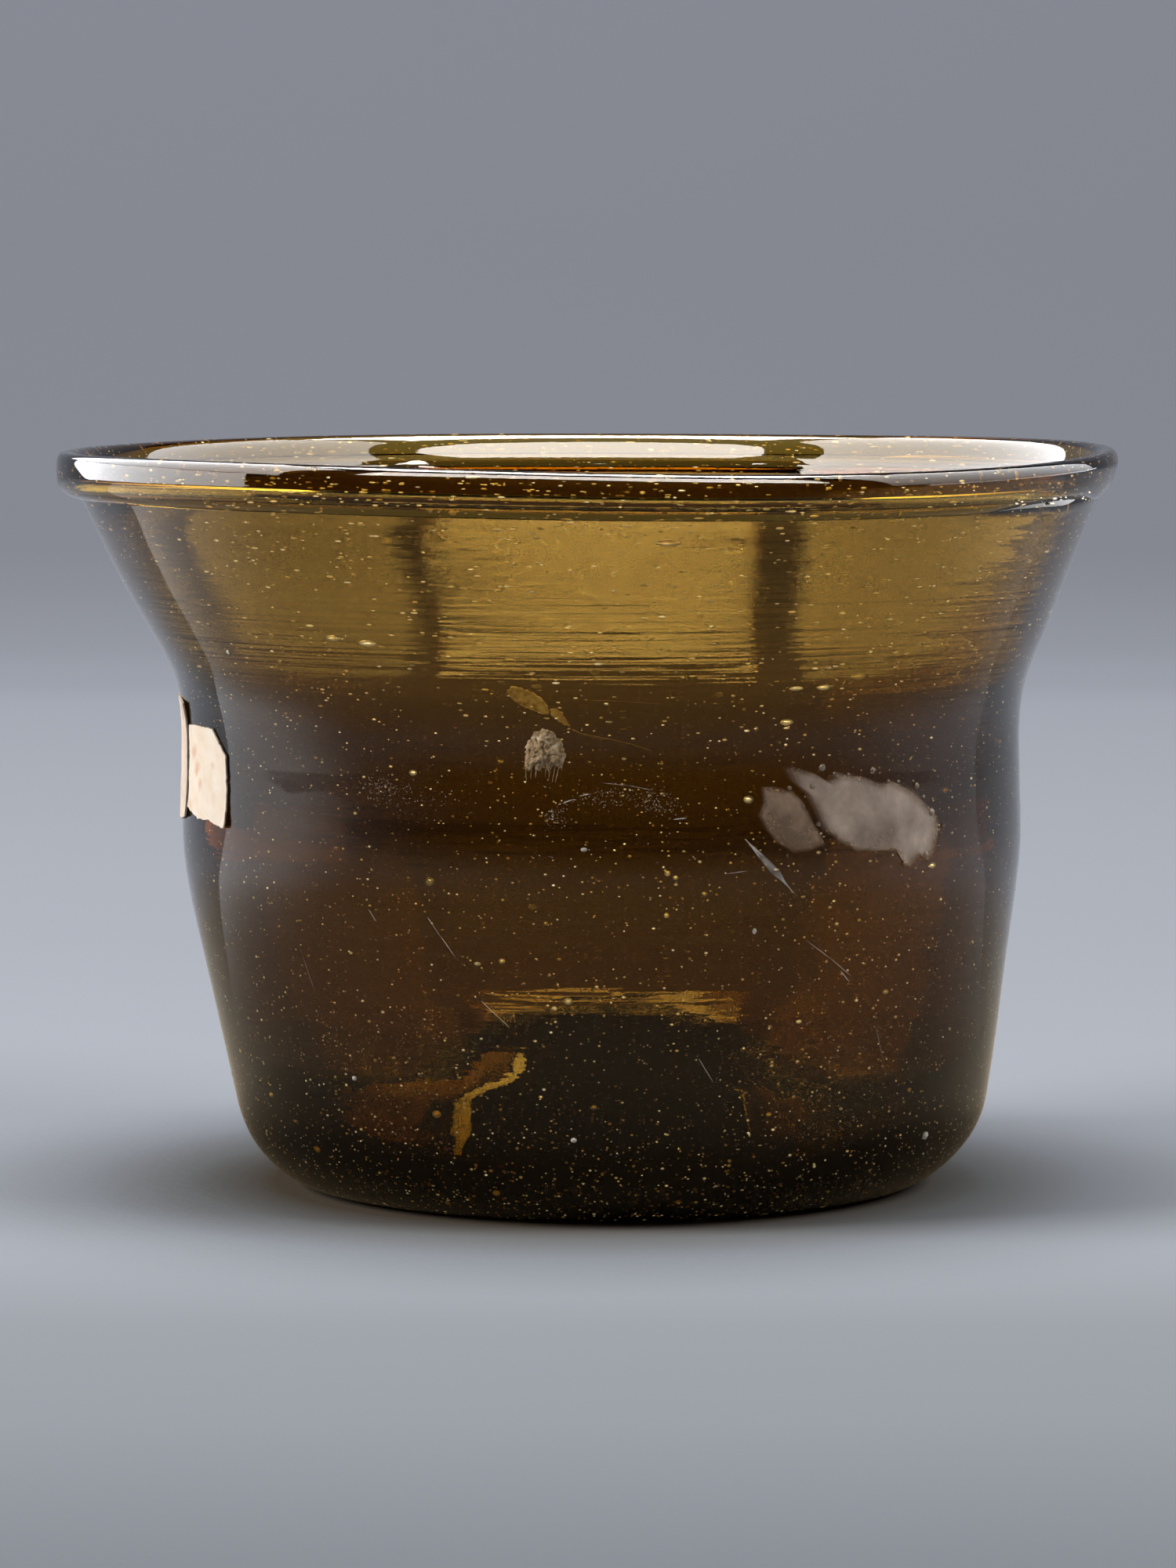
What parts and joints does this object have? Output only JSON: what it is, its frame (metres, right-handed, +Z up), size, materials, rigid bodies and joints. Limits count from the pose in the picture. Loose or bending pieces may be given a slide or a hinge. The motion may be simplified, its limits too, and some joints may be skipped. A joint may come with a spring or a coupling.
{
  "type": "glass bowl",
  "caption": "Small free-blown amber-brown glass bowl with pushed-in base, upright body, flared wall, out-folded rim and two paper collection labels",
  "frame": {"origin": "centre of the rim in plan, on the plane that the bowl stands on", "axes": "+Z up through the mouth; -Y is the pictured front; +X to the right in the picture. The standing ring lies about 2 mm towards +X because the bowl leans"},
  "size_m": [0.0948, 0.095, 0.0659],
  "materials": {
    "amber_glass": "fire-polished amber-brown glass with many small seed bubbles",
    "scar_glass": "broken, slightly dull amber-brown glass",
    "cream_paper": "matt cream paper with faint foxing, no lettering",
    "old_paper": "matt dulled paper, no lettering",
    "dried_gum": null,
    "pale_crust": "rough grey-white mineral crust",
    "ochre_crust": "rough ochre mineral crust"
  },
  "bodies": {
    "root": {"bowl_glass": "amber_glass", "pontil_scar": "scar_glass", "label_small": "cream_paper", "label_large": "old_paper", "gum_patch": "dried_gum", "crust_lump": "pale_crust", "crust_patch_inside": "ochre_crust"}
  },
  "joints": []
}
